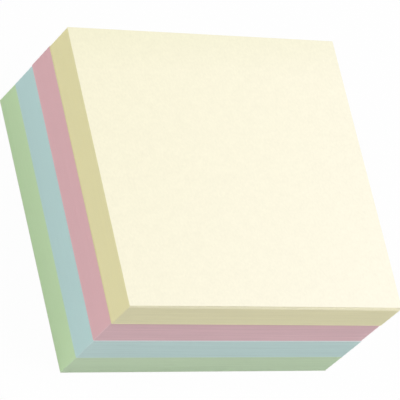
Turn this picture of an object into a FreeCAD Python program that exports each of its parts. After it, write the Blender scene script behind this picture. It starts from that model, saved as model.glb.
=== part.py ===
"""Sticky note pad: a cube of square notes in four pastel colours, each note stuck to the next along the back.

X runs across the pad, Y from the free front edge to the glued back edge, Z up from the surface it rests on.
The origin is under the middle of the pad. All sizes are in millimetres and angles in degrees.
"""
import FreeCAD, Part
import math
import os

from FreeCAD import Placement, Rotation, Vector

# One note, and how many there are of each colour
SHEET_WIDTH = 76.0
SHEET_DEPTH = 76.0
SHEETS_PER_COLOUR = 100

# Thickness of one note of each colour, and of the backing sheet under the last note
YELLOW_CALIPER = 0.099
PINK_CALIPER = 0.101
BLUE_CALIPER = 0.098
GREEN_CALIPER = 0.088
BACKING_CALIPER = 0.12

# The repositionable adhesive on the underside of a note, a little in from its back edge
ADHESIVE_DEPTH = 18.0
ADHESIVE_THICKNESS = 0.03
ADHESIVE_MARGIN = 1.5

# How the stack has settled: the top note lies this far to the right and forward of the lowest, and turned
LEAN_RIGHT = 0.45
LEAN_FORWARD = 1.35
STACK_TURN = -0.5

# How far the cut edges of the notes wander either way, at the front and back and at the sides
FRONT_SCATTER = 0.045
SIDE_SCATTER = 0.02

# The wander's step from one note to the next, as a share of its whole range, its slow drift a note in
# radians, and how much of it is the steps
FRONT_STEPS = (0.618, 0.31)
SIDE_STEPS = (0.414, 0.23)
QUICK_SHARE = 0.6

# How far the notes of the upper two colours lie off the stack's middle, and the lowest yellow one
PINK_OFFSET = Vector(0, 0.20, 0)
YELLOW_OFFSET = Vector(0, 0.04, 0)
LOWEST_YELLOW_OFFSET = Vector(-0.10, -0.10, 0)

# The knife drew the last notes as it cut the front, so that they end further and further back: how many
# notes, how far the top one has gone at its left and right end, and the power that its share grows with
DRAWN_SHEETS = 10
DRAW_LEFT = 0.12
DRAW_RIGHT = 0.34
DRAW_POWER = 1.5

# How high the top note stands off the pad at equal steps from its left side: its free front edge, and the
# pull on the curve behind it, which lifts the middle of its length
TOP_LIFTS = (0.02, 0.16, 0.16, 0.10)
TOP_PULLS = (0.00, 0.05, 0.12, 0.30)

# Each colour from the bottom up: its name, the thickness of a note, and the offsets of its notes and of the
# lowest of them
COLOURS = (
    ("green", GREEN_CALIPER, Vector(), Vector()),
    ("blue", BLUE_CALIPER, Vector(), Vector()),
    ("pink", PINK_CALIPER, PINK_OFFSET, PINK_OFFSET),
    ("yellow", YELLOW_CALIPER, YELLOW_OFFSET, LOWEST_YELLOW_OFFSET),
)

# Places worked out from the sizes
UPWARD = Vector(0, 0, 1)
LAST_SHEET = len(COLOURS) * SHEETS_PER_COLOUR - 1
LEFT_X = -SHEET_WIDTH / 2
RIGHT_X = SHEET_WIDTH / 2
FRONT_Y = -SHEET_DEPTH / 2
BACK_Y = SHEET_DEPTH / 2
GLUE_BACK_Y = BACK_Y - ADHESIVE_MARGIN
GLUE_FRONT_Y = GLUE_BACK_Y - ADHESIVE_DEPTH


def wander(number, steps):
    """An irregular value from -1 to 1 for each note, never alike for two neighbours, on a slow drift."""
    step, drift = steps
    quick = 2 * (step * number % 1) - 1
    return QUICK_SHARE * quick + (1 - QUICK_SHARE) * math.sin(drift * number)


def drawn_share(number):
    """How much the knife drew a note: 0 for most of the pad, rising to 1 at the top note."""
    return max(0, number + DRAWN_SHEETS - LAST_SHEET) / DRAWN_SHEETS


def front_y(number, x):
    """Where a note, counted from 0 at the bottom, ends at the front."""
    draw = DRAW_LEFT + (DRAW_RIGHT - DRAW_LEFT) * (x - LEFT_X) / SHEET_WIDTH
    return FRONT_Y + draw * drawn_share(number) ** DRAW_POWER


def place_of(number, offset, z):
    """Where a note lies: its shift, its turn and its height."""
    share = number / LAST_SHEET
    unevenness = 1 - drawn_share(number)
    shift_x = LEAN_RIGHT * (share - 0.5) + SIDE_SCATTER * unevenness * wander(number, SIDE_STEPS)
    shift_y = LEAN_FORWARD * (0.5 - share) + FRONT_SCATTER * unevenness * wander(number, FRONT_STEPS)
    return Placement(offset + Vector(shift_x, shift_y, z), Rotation(UPWARD, STACK_TURN * share))


def placed(shape, place):
    """The shape as it is once it lies at its place."""
    return shape.transformed(place.toMatrix())


def flat_note(number, caliper):
    """A note lying flat on Z = 0."""
    corners = [
        Vector(LEFT_X, front_y(number, LEFT_X), 0),
        Vector(RIGHT_X, front_y(number, RIGHT_X), 0),
        Vector(RIGHT_X, BACK_Y, 0),
        Vector(LEFT_X, BACK_Y, 0),
    ]
    return Part.Face(Part.makePolygon([*corners, corners[0]])).extrude(Vector(0, 0, caliper))


def adhesive_under(place):
    """The coating under the note at this place. It is pressed into the paper, so that notes lie flat."""
    corner = Vector(LEFT_X, GLUE_FRONT_Y, 0)
    return placed(Part.makeBox(SHEET_WIDTH, ADHESIVE_DEPTH, ADHESIVE_THICKNESS, corner), place)


def note_stack(first, places, caliper):
    """A run of notes of one colour as one solid, with each cut edge where its own note has it."""
    lowest, *others = [placed(flat_note(first + i, caliper), place) for i, place in enumerate(places)]
    return lowest.multiFuse(others)


def curl_section(x, lift, pull):
    """The top note cut through at one X: flat as far as its adhesive goes, then rising to its free edge."""
    back_edge = Vector(x, BACK_Y, 0)
    glue_end = Vector(x, GLUE_FRONT_Y, 0)
    free_edge = Vector(x, front_y(LAST_SHEET, x), lift)
    third = (free_edge.y - glue_end.y) / 3
    curl = Part.BezierCurve()
    curl.setPoles([
        glue_end,
        glue_end + Vector(0, third, 0),
        glue_end + Vector(0, 2 * third, pull),
        free_edge,
    ])

    up = Vector(0, 0, YELLOW_CALIPER)
    underside = [Part.makeLine(back_edge, glue_end), curl.toShape()]
    upper_side = [edge.translated(up) for edge in reversed(underside)]
    front_end = Part.makeLine(free_edge, free_edge + up)
    back_end = Part.makeLine(back_edge + up, back_edge)
    return Part.Wire([*underside, front_end, *upper_side, back_end])


def curled_note():
    """The top note, lofted across the pad through its sections, which rise by different amounts."""
    spacing = SHEET_WIDTH / (len(TOP_LIFTS) - 1)
    heights = enumerate(zip(TOP_LIFTS, TOP_PULLS))
    sections = [curl_section(LEFT_X + i * spacing, lift, pull) for i, (lift, pull) in heights]
    return Part.makeLoft(sections, True)


def build_pieces():
    """All the pieces of the pad by name, from the backing sheet up to the top note."""
    backing = flat_note(0, BACKING_CALIPER)
    pieces = {"backing_sheet": placed(backing, place_of(0, Vector(), 0))}
    z = BACKING_CALIPER
    first = 0
    for name, caliper, offset, lowest_offset in COLOURS:
        last = min(first + SHEETS_PER_COLOUR, LAST_SHEET)
        places = [place_of(first, lowest_offset, z)]
        for number in range(first + 1, last):
            places.append(place_of(number, offset, z + (number - first) * caliper))
        coating = adhesive_under(places[0])
        pieces[name + "_adhesive"] = coating
        pieces[name + "_sheets"] = note_stack(first, places, caliper).cut(coating)
        z += (last - first) * caliper
        first = last

    top_place = place_of(LAST_SHEET, YELLOW_OFFSET, z)
    pieces["top_adhesive"] = adhesive_under(top_place)
    pieces["top_sheet"] = placed(curled_note(), top_place).cut(pieces["top_adhesive"])
    return pieces


os.makedirs("parts", exist_ok=True)
for node, piece in build_pieces().items():
    piece.exportStep(os.path.join("parts", node + ".step"))
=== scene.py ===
"""Looks of the sticky note pad: cut edges, the lifting top note, its paper, backing sheet and adhesive.

X runs across the pad, Y from the free front edge to the glued back edge, Z up. All sizes are in metres.
"""

import math
from collections import namedtuple

import bpy
from mathutils import Matrix, Quaternion, Vector, noise


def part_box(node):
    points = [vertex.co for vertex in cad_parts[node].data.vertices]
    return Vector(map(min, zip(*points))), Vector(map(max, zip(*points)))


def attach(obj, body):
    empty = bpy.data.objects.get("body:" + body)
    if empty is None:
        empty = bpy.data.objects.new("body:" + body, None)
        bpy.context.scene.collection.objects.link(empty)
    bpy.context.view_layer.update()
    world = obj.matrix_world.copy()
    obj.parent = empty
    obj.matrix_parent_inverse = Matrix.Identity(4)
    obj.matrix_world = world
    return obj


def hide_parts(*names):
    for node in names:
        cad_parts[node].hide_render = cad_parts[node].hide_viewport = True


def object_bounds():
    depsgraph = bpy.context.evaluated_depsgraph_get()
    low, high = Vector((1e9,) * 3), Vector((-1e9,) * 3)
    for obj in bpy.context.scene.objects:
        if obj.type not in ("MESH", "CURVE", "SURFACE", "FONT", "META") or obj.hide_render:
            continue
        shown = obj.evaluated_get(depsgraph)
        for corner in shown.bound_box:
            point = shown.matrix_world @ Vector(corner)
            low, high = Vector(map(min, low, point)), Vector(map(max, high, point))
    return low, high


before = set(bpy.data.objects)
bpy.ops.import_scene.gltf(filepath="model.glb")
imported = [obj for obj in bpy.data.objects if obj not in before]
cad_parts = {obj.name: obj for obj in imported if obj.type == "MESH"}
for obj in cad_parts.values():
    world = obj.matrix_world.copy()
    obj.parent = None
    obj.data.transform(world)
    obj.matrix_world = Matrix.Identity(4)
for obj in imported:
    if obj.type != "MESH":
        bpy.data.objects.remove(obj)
cad_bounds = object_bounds()

MM = 0.001

# One note, how many there are of each colour, and the adhesive on its underside
SHEET_WIDTH = 76.0 * MM
SHEET_DEPTH = 76.0 * MM
SHEETS_PER_COLOUR = 100
COLOURS_FROM_BELOW = ("green", "blue", "pink", "yellow")
LAST_SHEET = len(COLOURS_FROM_BELOW) * SHEETS_PER_COLOUR - 1
ADHESIVE_DEPTH = 18.0 * MM
ADHESIVE_THICKNESS = 0.03 * MM
ADHESIVE_MARGIN = 1.5 * MM

# How the stack has settled: the top note lies this far to the right and forward of the lowest, and turned
LEAN_RIGHT = 0.45 * MM
LEAN_FORWARD = 1.35 * MM
STACK_TURN = math.radians(-0.5)

# How far the cut edges of the notes wander either way, at the front and back and at the sides
FRONT_SCATTER = 0.045 * MM
SIDE_SCATTER = 0.02 * MM

# The wander's step from one note to the next, as a share of its whole range, its slow drift a note in
# radians, and how much of it is the steps
FRONT_STEPS = (0.618, 0.31)
SIDE_STEPS = (0.414, 0.23)
QUICK_SHARE = 0.6

# How far the notes of the upper two colours lie off the stack's middle, and the lowest yellow one
PINK_OFFSET = (0, 0.20 * MM)
YELLOW_OFFSET = (0, 0.04 * MM)
LOWEST_YELLOW_OFFSET = (-0.10 * MM, -0.04 * MM)

# The knife drew the last notes as it cut the front, so that they end further and further back: how many
# notes, how far the top one has gone at its left and right end, and the power that its share grows with
DRAWN_SHEETS = 10
DRAW_LEFT = 0.12 * MM
DRAW_RIGHT = 0.34 * MM
DRAW_POWER = 1.5

# How high the top note stands off the pad at equal steps from its left side: its free front edge, and the
# pull on the curve behind it. Then how high and how long its faint cockle is
TOP_LIFTS = (0.02 * MM, 0.16 * MM, 0.16 * MM, 0.10 * MM)
TOP_PULLS = (0.00 * MM, 0.05 * MM, 0.12 * MM, 0.30 * MM)
COCKLE_HEIGHT = 0.03 * MM
COCKLE_LENGTH = 25.0 * MM

# The cut edges in detail: the frayed upright corners, the groove between two notes as a depth and as a share
# of each note's thickness, and how ragged the cut is, at what length and how differently from note to note
CORNER_CUT = 0.17 * MM
GROOVE_DEPTH = 0.035 * MM
GROOVE_SHARE = 0.22
EDGE_RAGGED = 0.012 * MM
RAGGED_LENGTH = 7.0 * MM
RAGGED_STEP = 0.7

# The meshes: how many points there are along an edge, the slope beside the adhesive, where the wall of a
# colour's lowest note starts over its adhesive, and the angle that stays sharp on the top note
EDGE_STATIONS = 16
RECESS_SLOPE = 0.3 * MM
LOWEST_WALL_START = 1.2 * ADHESIVE_THICKNESS
SHARP_ANGLE = math.radians(30)

# Places worked out from the sizes
LEFT_X, RIGHT_X = -SHEET_WIDTH / 2, SHEET_WIDTH / 2
FRONT_Y, BACK_Y = -SHEET_DEPTH / 2, SHEET_DEPTH / 2
GLUE_BACK_Y = BACK_Y - ADHESIVE_MARGIN
GLUE_FRONT_Y = GLUE_BACK_Y - ADHESIVE_DEPTH

# Each paper's linear colours, for the flat of a note, its front and back edges, its side edges and its
# corners,
# paler than both edges: partly frayed fibres, partly a painted highlight along the upright corner. Then how
# strongly the front and side edges are streaked note by note
Paper = namedtuple("Paper", "face front side corner front_streak side_streak")
PAPERS = {
    "yellow": Paper(
        # The yellow flat is paler than the top note's paper: painted light on the drawn notes' ledges, which
        # lie in the lifted top note's shade
        face=(0.985, 0.942, 0.745),
        front=(0.878, 0.840, 0.581),
        side=(0.890, 0.842, 0.512),
        corner=(0.930, 0.880, 0.570),
        front_streak=0.030,
        side_streak=0.008,
    ),
    "pink": Paper(
        face=(0.900, 0.730, 0.760),
        front=(0.825, 0.590, 0.624),
        side=(0.828, 0.540, 0.568),
        corner=(0.880, 0.620, 0.650),
        front_streak=0.055,
        side_streak=0.008,
    ),
    "blue": Paper(
        face=(0.770, 0.860, 0.870),
        front=(0.636, 0.798, 0.782),
        side=(0.592, 0.788, 0.776),
        corner=(0.660, 0.830, 0.820),
        front_streak=0.033,
        side_streak=0.006,
    ),
    "green": Paper(
        face=(0.760, 0.880, 0.700),
        front=(0.652, 0.790, 0.585),
        side=(0.652, 0.835, 0.540),
        corner=(0.690, 0.860, 0.600),
        front_streak=0.033,
        side_streak=0.008,
    ),
}

# The flat of the top note, and the light and shade painted into its colour: painted shade that darkens it
# towards its back edge, over the glue, and painted light that pales it on the way from its back left corner
# to its front right one
TOP_COLOUR = (0.980, 0.938, 0.712)
BACK_SHADE_CHANGE = (-0.034, -0.024, -0.036)
BACK_SHADE_WAY = (0, 1, 0)
BACK_SHADE_START = BACK_Y - 12.0 * MM
PAINTED_LIGHT_CHANGE = (0, 0, 0.075)
PAINTED_LIGHT_WAY = (0.77, -0.64, 0)
PAINTED_LIGHT_REACH = 50.0 * MM

LINER_COLOUR = (0.80, 0.79, 0.73)
ADHESIVE_COLOUR = (0.86, 0.85, 0.78)

# Most of a noise's values lie between these
NOISE_LOW, NOISE_HIGH = 0.3, 0.7

# The floor, and how much of it the camera sees as plain white, without the pad's shadow
FLOOR_SIZE = 8.0
FLOOR_COLOUR = (0.8, 0.8, 0.8, 1)
FLOOR_ROUGHNESS = 0.9
FLOOR_WHITE_SHARE = 0.97

# The light: the world's, and each lamp's name, place, side and power in watts
WORLD_LIGHT = 0.414
LAMPS = (
    ("key", (0.34, -0.15, 0.70), 0.4, 3.55),
    ("side_fill", (-1.00, 0.08, 0.30), 0.8, 3.84),
)

# The camera, on a sphere about the middle of the pad, turned about its own axis, and aimed a little off that
# middle, to its own right and up
CAMERA_AZIMUTH = math.radians(-50.358)
CAMERA_ELEVATION = math.radians(49.970)
CAMERA_ROLL = math.radians(43.854)
CAMERA_DISTANCE = 902.8 * MM
CAMERA_AIM_RIGHT = 0.379 * MM
CAMERA_AIM_UP = 0.739 * MM
CAMERA_LENS_MM = 325.96
CAMERA_SENSOR_MM = 36.0
CAMERA_NEAREST = 0.01
CAMERA_FARTHEST = 20.0


class NodeTree:
    """Adds nodes to a material or a world and links them, so that each reads as one list of steps."""

    def __init__(self, owner, shader):
        owner.use_nodes = True
        self.tree = owner.node_tree
        self.shader = self.tree.nodes[shader]

    def add(self, kind, inputs=None, **settings):
        """Adds a node with its own settings. Its inputs take values or the outputs of other nodes."""
        node = self.tree.nodes.new(kind)
        for setting, value in settings.items():
            setattr(node, setting, value)
        for socket, value in (inputs or {}).items():
            self.fill(node.inputs[socket], value)
        return node

    def fill(self, socket, value):
        """Gives a socket a value, or links it to one that varies over the surface."""
        if isinstance(value, bpy.types.NodeSocket):
            self.tree.links.new(value, socket)
        else:
            socket.default_value = value

    def shade(self, socket, value):
        """Gives an input of the shader a value, or one that varies over the surface."""
        self.fill(self.shader.inputs[socket], value)

    def place(self):
        """Where on the piece a point is, in the piece's own coordinates."""
        return self.add("ShaderNodeTexCoord").outputs["Object"]

    def noise(self, scale, detail, rough=0.5):
        """A noise over the piece's own coordinates, with a scale for each axis in cycles a metre."""
        mapped = self.add("ShaderNodeMapping", {"Vector": self.place(), "Scale": scale}).outputs["Vector"]
        inputs = {"Vector": mapped, "Scale": 1.0, "Detail": detail, "Roughness": rough}
        return self.add("ShaderNodeTexNoise", inputs).outputs["Fac"]

    def ranged(self, source, low, high, new_low, new_high):
        """Maps the range from low to high onto another one, and stays at its ends beyond them."""
        inputs = {"Value": source, "From Min": low, "From Max": high, "To Min": new_low, "To Max": new_high}
        return self.add("ShaderNodeMapRange", inputs).outputs["Result"]

    def spread(self, source, low, high):
        """Maps most of a noise's values onto low to high."""
        return self.ranged(source, NOISE_LOW, NOISE_HIGH, low, high)

    def varied(self, source, amount):
        """A strength of 1, give or take an amount that follows a noise."""
        return self.spread(source, 1 - amount, 1 + amount)

    def multiply(self, a, b):
        """The product of two strengths."""
        return self.add("ShaderNodeMath", {0: a, 1: b}, operation="MULTIPLY").outputs["Value"]

    def either(self, a, b):
        """1 where one or the other is 1."""
        return self.add("ShaderNodeMath", {0: a, 1: b}, operation="MAXIMUM").outputs["Value"]

    def tinted(self, colour, strength):
        """The colour times a strength."""
        inputs = {"Vector": colour, "Scale": strength}
        return self.add("ShaderNodeVectorMath", inputs, operation="SCALE").outputs["Vector"]

    def changed(self, colour, change, way, start, end):
        """The colour plus a change that comes in from start to end along a way through the pad's middle."""
        inputs = {0: self.place(), 1: way}
        along = self.add("ShaderNodeVectorMath", inputs, operation="DOT_PRODUCT").outputs["Value"]
        inputs = {0: self.ranged(along, start, end, 0, 1), 1: change, 2: colour}
        return self.add("ShaderNodeVectorMath", inputs, operation="MULTIPLY_ADD").outputs["Vector"]

    def bump(self, height, distance, strength):
        """Raises the surface by a height of 0 to 1 over a distance."""
        inputs = {"Height": height, "Distance": distance, "Strength": strength}
        self.shade("Normal", self.add("ShaderNodeBump", inputs).outputs["Normal"])

    def background_share(self):
        """1 for what the camera sees, straight, mirrored or through glass, and 0 for what lights the pad."""
        ray = self.add("ShaderNodeLightPath").outputs
        mirrored = self.either(ray["Is Glossy Ray"], ray["Is Transmission Ray"])
        return self.either(ray["Is Camera Ray"], mirrored)


class Material(NodeTree):
    """A new material and its nodes."""

    def __init__(self, name):
        self.material = bpy.data.materials.new(name)
        super().__init__(self.material, "Principled BSDF")


def paper_face(name, colour, painted_light_and_shade=False):
    """The flat of a note: uncoated paper with a cloudy formation and a fine felt of fibres."""
    paper = Material(name)
    # Painted light, paler towards the front right, and painted shade, darker towards the back edge
    if painted_light_and_shade:
        colour = paper.changed(colour, PAINTED_LIGHT_CHANGE, PAINTED_LIGHT_WAY, -PAINTED_LIGHT_REACH, PAINTED_LIGHT_REACH)
        colour = paper.changed(colour, BACK_SHADE_CHANGE, BACK_SHADE_WAY, BACK_SHADE_START, BACK_Y)
    cloud = paper.noise(scale=(380, 380, 380), detail=3.0)
    fibres = paper.noise(scale=(1700, 1100, 1700), detail=4.0, rough=0.6)
    strength = paper.multiply(paper.varied(cloud, amount=0.010), paper.varied(fibres, amount=0.025))
    paper.shade("Base Color", paper.tinted(colour, strength))
    paper.shade("Roughness", paper.spread(fibres, low=0.78, high=0.86))
    paper.shade("Specular IOR Level", 0.25)
    paper.bump(fibres, distance=0.02 * MM, strength=0.35)
    return paper.material


def paper_edge(name, colour, streak):
    """The cut edges of a stack of notes: each note's edge takes the light a little differently."""
    paper = Material(name)
    notes = paper.noise(scale=(45, 45, 5200), detail=2.0)
    sheaves = paper.noise(scale=(12, 12, 900), detail=3.0)
    fuzz = paper.noise(scale=(3000, 3000, 9000), detail=3.0, rough=0.65)
    strength = paper.multiply(paper.varied(notes, streak), paper.varied(sheaves, streak / 2))
    strength = paper.multiply(strength, paper.varied(fuzz, amount=0.015))
    paper.shade("Base Color", paper.tinted(colour, strength))
    paper.shade("Roughness", paper.spread(fuzz, low=0.86, high=0.94))
    paper.shade("Specular IOR Level", 0.15)
    paper.bump(fuzz, distance=0.03 * MM, strength=0.4)
    return paper.material


def note_materials(colour):
    """The materials of a colour's notes, in the order of the material numbers."""
    paper = PAPERS[colour]
    return [
        paper_face(colour + "_face", paper.face),
        paper_edge(colour + "_front_edge", paper.front, paper.front_streak),
        paper_edge(colour + "_side_edge", paper.side, paper.side_streak),
        paper_edge(colour + "_corner", paper.corner, paper.front_streak),
    ]


def liner_paper():
    """The backing sheet: a dense, slightly waxy release paper with a faint formation."""
    paper = Material("liner_paper")
    cloud = paper.noise(scale=(180, 180, 180), detail=4.0)
    paper.shade("Base Color", paper.tinted(LINER_COLOUR, paper.spread(cloud, low=0.965, high=1.02)))
    paper.shade("Roughness", paper.spread(cloud, low=0.43, high=0.53))
    paper.shade("Specular IOR Level", 0.45)
    paper.bump(paper.noise(scale=(900, 1500, 900), detail=2.0), distance=0.01 * MM, strength=0.3)
    return paper.material


def adhesive_film():
    """The repositionable adhesive: a thin milky coat of fine round grains."""
    film = Material("adhesive_film")
    grains = film.noise(scale=(9000, 9000, 9000), detail=1.0)
    film.shade("Base Color", film.tinted(ADHESIVE_COLOUR, film.spread(grains, low=0.96, high=1.03)))
    film.shade("Roughness", film.spread(grains, low=0.32, high=0.44))
    film.bump(grains, distance=0.01 * MM, strength=0.6)
    return film.material


def wander(number, steps):
    """An irregular value from -1 to 1 for each note, never alike for two neighbours, on a slow drift."""
    step, drift = steps
    quick = 2 * (step * number % 1) - 1
    return QUICK_SHARE * quick + (1 - QUICK_SHARE) * math.sin(drift * number)


def drawn_share(number):
    """How much the knife drew a note: 0 for most of the pad, rising to 1 at the top note."""
    return max(0, number + DRAWN_SHEETS - LAST_SHEET) / DRAWN_SHEETS


def free_share(y):
    """How far a place on a note is from its glued part: 0 there, and 1 at the free front edge."""
    return max(0.0, (GLUE_FRONT_Y - y) / (GLUE_FRONT_Y - FRONT_Y))


def is_glued(y):
    """Whether a note has adhesive under it here."""
    return GLUE_FRONT_Y <= y <= GLUE_BACK_Y


def offset_of(number):
    """How far a note lies off the stack's middle, to the right and back, for its colour."""
    colour = COLOURS_FROM_BELOW[number // SHEETS_PER_COLOUR]
    if colour == "pink":
        return PINK_OFFSET
    if colour == "yellow" and number % SHEETS_PER_COLOUR == 0:
        return LOWEST_YELLOW_OFFSET
    if colour == "yellow":
        return YELLOW_OFFSET
    return (0, 0)


def place_of(number):
    """The matrix that moves a note, counted from 0 at the bottom, from the pad's middle to where it lies."""
    share = number / LAST_SHEET
    unevenness = 1 - drawn_share(number)
    shift_x, shift_y = offset_of(number)
    shift_x += LEAN_RIGHT * (share - 0.5) + SIDE_SCATTER * unevenness * wander(number, SIDE_STEPS)
    shift_y += LEAN_FORWARD * (0.5 - share) + FRONT_SCATTER * unevenness * wander(number, FRONT_STEPS)
    return Matrix.Translation((shift_x, shift_y, 0)) @ Matrix.Rotation(STACK_TURN * share, 4, "Z")


def on_note(number, x, y, z):
    """The point of a note that is at x and y before the knife's draw and the note's shift and turn."""
    draw = DRAW_LEFT + (DRAW_RIGHT - DRAW_LEFT) * (x - LEFT_X) / SHEET_WIDTH
    return place_of(number) @ Vector((x, y + draw * drawn_share(number) ** DRAW_POWER * free_share(y), z))


def stations(low, high, extra=()):
    """Evenly spaced places from low to high, with extra ones in place of those close to them."""
    even = [low + (high - low) * i / (EDGE_STATIONS - 1) for i in range(EDGE_STATIONS)]
    kept = [s for s in even if all(abs(s - e) > RECESS_SLOPE for e in extra)]
    return sorted(kept + list(extra))


def outline_points():
    """The outline of a note, anticlockwise from the front left, as (x, y, outward x, outward y)."""
    front = [(x, FRONT_Y, 0, -1) for x in ACROSS]
    right = [(RIGHT_X, y, 1, 0) for y in ALONG]
    back = [(x, BACK_Y, 0, 1) for x in reversed(ACROSS)]
    left = [(LEFT_X, y, -1, 0) for y in reversed(ALONG)]
    return front + right + back + left


# The points along the front and sides of a note, its whole outline, and the material numbers of its faces
GLUE_STATIONS = (GLUE_FRONT_Y - RECESS_SLOPE, GLUE_FRONT_Y, GLUE_BACK_Y, GLUE_BACK_Y + RECESS_SLOPE)
ACROSS = stations(LEFT_X + CORNER_CUT, RIGHT_X - CORNER_CUT)
ALONG = stations(FRONT_Y + CORNER_CUT, BACK_Y - CORNER_CUT, GLUE_STATIONS)
OUTLINE = outline_points()
FACE, FRONT_EDGE, SIDE_EDGE, CORNER = range(4)


def edge_material(i):
    """The material number of the outline's stretch that starts at point i."""
    outward = OUTLINE[i][2:]
    if outward != OUTLINE[(i + 1) % len(OUTLINE)][2:]:
        return CORNER
    return FRONT_EDGE if outward[1] else SIDE_EDGE


def ledge_material(i):
    """The same where a drawn note sticks out in front of the next: there the flat of the note shows."""
    return FACE if OUTLINE[i][3] < 0 else edge_material(i)


def note_ring(number, z, inset=0.0):
    """One note's outline at a height, a little ragged along its cut, and drawn in by an inset."""
    ring = []
    for x, y, out_x, out_y in OUTLINE:
        along = (x * abs(out_y) + y * abs(out_x)) / RAGGED_LENGTH
        # Each side of the pad is ragged in its own way, because it reads the noise at a place of its own
        side = 3 * out_x + 5 * out_y
        ragged = EDGE_RAGGED * (1 + noise.noise(Vector((along, number * RAGGED_STEP, side)))) / 2
        reach = -ragged - inset
        ring.append(on_note(number, x + out_x * reach, y + out_y * reach, z))
    return ring


def glued_ring(number, z):
    """The outline of a note's underside, raised where its adhesive is."""
    ring = note_ring(number, z)
    for point, (_, y, *_) in zip(ring, OUTLINE):
        if is_glued(y):
            point.z += ADHESIVE_THICKNESS
    return ring


def groove_ring(number, z):
    """The groove between a note and the next, which follows whichever of them ends further in."""
    this = note_ring(number, z, GROOVE_DEPTH)
    following = note_ring(number + 1, z, GROOVE_DEPTH)
    return [Vector(map(inner, a, b)) for a, b in zip(this, following)]


def inner(a, b):
    """Of two coordinates on the same side of the pad, the one nearer its middle."""
    return a if abs(a) < abs(b) else b


class Shell:
    """Collects the points and faces of a closed mesh, with a material number for each face."""

    def __init__(self):
        self.points = []
        self.faces = []
        self.material_numbers = []

    def ring(self, points):
        """Adds points, and returns their numbers."""
        first = len(self.points)
        self.points += points
        return list(range(first, len(self.points)))

    def face(self, corners, material_number):
        """Adds a face, with its corners anticlockwise as seen from outside."""
        self.faces.append(corners)
        self.material_numbers.append(material_number)

    def band(self, lower, upper, material_of):
        """Joins two rings of the same length all the way round."""
        for i in range(len(lower)):
            j = (i + 1) % len(lower)
            self.face((lower[i], lower[j], upper[j], upper[i]), material_of(i))

    def cap(self, ring, facing_up):
        """Closes a stack at a ring: strips from side to side, and one face at the front and at the back."""
        across, along = len(ACROSS), len(ALONG)
        front = ring[:across]
        right = ring[across:across + along]
        back = ring[across + along:2 * across + along]
        left = ring[2 * across + along:][::-1]
        faces = [[left[0], *front, right[0]], [right[-1], *back, left[-1]]]
        faces += [[left[i], right[i], right[i + 1], left[i + 1]] for i in range(along - 1)]
        for corners in faces:
            self.face(corners if facing_up else corners[::-1], FACE)

    def piece(self, name, materials):
        """The finished mesh as an object."""
        mesh = bpy.data.meshes.new(name)
        mesh.from_pydata(self.points, [], self.faces)
        mesh.polygons.foreach_set("material_index", self.material_numbers)
        for material in materials:
            mesh.materials.append(material)
        mesh.update()
        made = bpy.data.objects.new(name, mesh)
        bpy.context.scene.collection.objects.link(made)
        return made


def note_stack(colour, index, materials):
    """All the notes of one colour: one closed shell whose edges step and groove note by note."""
    node = colour + "_sheets"
    low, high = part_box(node)
    first = index * SHEETS_PER_COLOUR
    last = min(first + SHEETS_PER_COLOUR, LAST_SHEET) - 1
    caliper = (high.z - low.z) / (last - first + 1)

    shell = Shell()
    ring = shell.ring(glued_ring(first, low.z))
    shell.cap(ring, facing_up=False)
    for number in range(first, last + 1):
        # The note's own cut edge, between the grooves under and over it
        z = low.z + (number - first) * caliper
        wall_start = LOWEST_WALL_START if number == first else caliper * GROOVE_SHARE
        wall_end = caliper * (1 - GROOVE_SHARE)
        for level in (z + wall_start, z + wall_end):
            wall = shell.ring(note_ring(number, level))
            shell.band(ring, wall, edge_material)
            ring = wall

        # From there up to the groove or the top, which the next note starts from
        if number == last:
            upper = shell.ring(note_ring(number, high.z))
            shell.band(ring, upper, edge_material)
        else:
            upper = shell.ring(groove_ring(number, z + caliper))
            shell.band(ring, upper, ledge_material if drawn_share(number + 1) else edge_material)
        ring = upper
    shell.cap(ring, facing_up=True)

    piece = shell.piece(colour + "_notes", materials)
    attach(piece, "root")
    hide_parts(node)


def across_note(heights, x):
    """The height at x of the one cubic that passes through four heights at equal steps across the note."""
    steps = (x - LEFT_X) / SHEET_WIDTH * (len(heights) - 1)
    total = 0.0
    for i, height in enumerate(heights):
        others = [j for j in range(len(heights)) if j != i]
        total += height * math.prod((steps - j) / (i - j) for j in others)
    return total


def curl(x, y):
    """How far the underside of the top note stands off the pad."""
    free = free_share(y)
    lift = free ** 3 * across_note(TOP_LIFTS, x)
    pull = 3 * free ** 2 * (1 - free) * across_note(TOP_PULLS, x)
    cockle = free * (1 - free) * noise.noise(Vector((x / COCKLE_LENGTH, y / COCKLE_LENGTH, 0)))
    return lift + pull + COCKLE_HEIGHT * cockle


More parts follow.
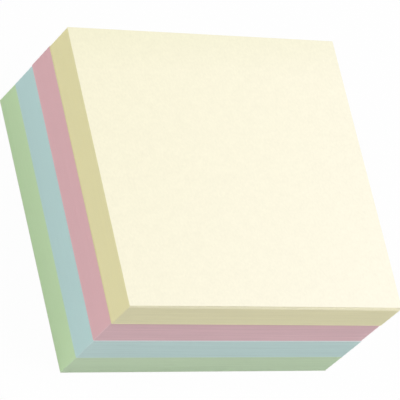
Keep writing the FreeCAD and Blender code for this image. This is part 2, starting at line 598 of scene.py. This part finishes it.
def top_note(materials):
    """The top note: flat where it is glued, then curling up to its free edge, with a faint cockle."""
    low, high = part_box("top_sheet")
    stack_low, stack_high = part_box("yellow_sheets")
    thickness = (stack_high.z - stack_low.z) / (SHEETS_PER_COLOUR - 1)
    columns = stations(LEFT_X, RIGHT_X)
    rows = stations(FRONT_Y, BACK_Y, GLUE_STATIONS)
    shell = Shell()

    def layer(rise_at):
        """One side of the note, row by row from the front, as far over its underside as rise_at says."""
        grid = []
        for y in rows:
            heights = [min(low.z + curl(x, y), high.z - thickness) + rise_at(y) for x in columns]
            grid.append(shell.ring([on_note(LAST_SHEET, x, y, z) for x, z in zip(columns, heights)]))
        return grid

    under = layer(lambda y: ADHESIVE_THICKNESS if is_glued(y) else 0)
    over = layer(lambda y: thickness)
    for r in range(len(rows) - 1):
        for c in range(len(columns) - 1):
            shell.face((over[r][c], over[r][c + 1], over[r + 1][c + 1], over[r + 1][c]), FACE)
            shell.face((under[r][c], under[r + 1][c], under[r + 1][c + 1], under[r][c + 1]), FACE)
        shell.face((under[r][-1], under[r + 1][-1], over[r + 1][-1], over[r][-1]), SIDE_EDGE)
        shell.face((under[r + 1][0], under[r][0], over[r][0], over[r + 1][0]), SIDE_EDGE)
    for c in range(len(columns) - 1):
        shell.face((under[0][c], under[0][c + 1], over[0][c + 1], over[0][c]), FRONT_EDGE)
        shell.face((under[-1][c + 1], under[-1][c], over[-1][c], over[-1][c + 1]), FRONT_EDGE)

    piece = shell.piece("top_note", materials)
    piece.data.shade_smooth()
    piece.data.set_sharp_from_angle(angle=SHARP_ANGLE)
    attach(piece, "root")
    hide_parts("top_sheet")


def finish_node(node, material):
    """Gives a CAD node that stays its own material."""
    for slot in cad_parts[node].material_slots:
        slot.material = material


def add_pad():
    """The notes, colour by colour from below, the top note, the backing sheet and the adhesive."""
    papers = {colour: note_materials(colour) for colour in COLOURS_FROM_BELOW}
    for index, colour in enumerate(COLOURS_FROM_BELOW):
        note_stack(colour, index, papers[colour])

    # The top note's flat has painted light and shade, and its front edge takes the pale corner paper as a
    # painted highlight
    top_face = paper_face("top_face", TOP_COLOUR, painted_light_and_shade=True)
    top_note([top_face, papers["yellow"][CORNER], papers["yellow"][SIDE_EDGE]])

    finish_node("backing_sheet", liner_paper())
    film = adhesive_film()
    for name in ("top", *COLOURS_FROM_BELOW):
        finish_node(name + "_adhesive", film)


def add_floor():
    """A plain white floor. What the camera sees of it is white, apart from a share that keeps the shadow."""
    bpy.ops.mesh.primitive_plane_add(size=FLOOR_SIZE, location=(0, 0, 0))
    floor = bpy.context.object
    floor.name = "floor"
    paper = Material("floor_paper")
    paper.shade("Base Color", FLOOR_COLOUR)
    paper.shade("Roughness", FLOOR_ROUGHNESS)
    lit = paper.shader.outputs["BSDF"]
    white = paper.add("ShaderNodeEmission", {"Strength": 1.0}).outputs["Emission"]
    share = paper.multiply(paper.background_share(), FLOOR_WHITE_SHARE)
    mixed = paper.add("ShaderNodeMixShader", {0: share, 1: lit, 2: white}).outputs["Shader"]
    paper.fill(paper.tree.nodes["Material Output"].inputs["Surface"], mixed)
    floor.data.materials.append(paper.material)


def add_world():
    """Even white light from all round, seen as white by the camera and in reflections."""
    world = bpy.data.worlds.new("studio")
    bpy.context.scene.world = world
    studio = NodeTree(world, "Background")
    studio.shade("Color", (1, 1, 1, 1))
    studio.shade("Strength", studio.ranged(studio.background_share(), 0, 1, WORLD_LIGHT, 1))


def add_lamp(name, place, side, power):
    """A square soft lamp that faces the pad."""
    light = bpy.data.lights.new(name, "AREA")
    light.size = side
    light.energy = power
    lamp = bpy.data.objects.new(name, light)
    lamp.location = place
    lamp.rotation_mode = "QUATERNION"
    lamp.rotation_quaternion = (-Vector(place)).to_track_quat("-Z", "Y")
    bpy.context.scene.collection.objects.link(lamp)


def add_camera():
    """The camera at the photograph's angle, rolled about its own axis."""
    floor_level = cad_bounds[0].z
    stack_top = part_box("yellow_sheets")[1].z
    middle = Vector((0, 0, (floor_level + stack_top) / 2))
    level = math.cos(CAMERA_ELEVATION)
    back = Vector((
        level * math.sin(CAMERA_AZIMUTH),
        -level * math.cos(CAMERA_AZIMUTH),
        math.sin(CAMERA_ELEVATION),
    ))
    data = bpy.data.cameras.new("camera")
    data.lens = CAMERA_LENS_MM
    data.sensor_width = CAMERA_SENSOR_MM
    data.clip_start = CAMERA_NEAREST
    data.clip_end = CAMERA_FARTHEST
    camera = bpy.data.objects.new("camera", data)
    turn = (-back).to_track_quat("-Z", "Y") @ Quaternion((0, 0, 1), CAMERA_ROLL)
    camera.rotation_mode = "QUATERNION"
    camera.rotation_quaternion = turn
    camera.location = middle + turn @ Vector((CAMERA_AIM_RIGHT, CAMERA_AIM_UP, CAMERA_DISTANCE))
    bpy.context.scene.collection.objects.link(camera)
    bpy.context.scene.camera = camera


add_pad()
add_floor()
add_world()
for lamp_values in LAMPS:
    add_lamp(*lamp_values)
add_camera()
bpy.context.scene.view_settings.view_transform = "Standard"
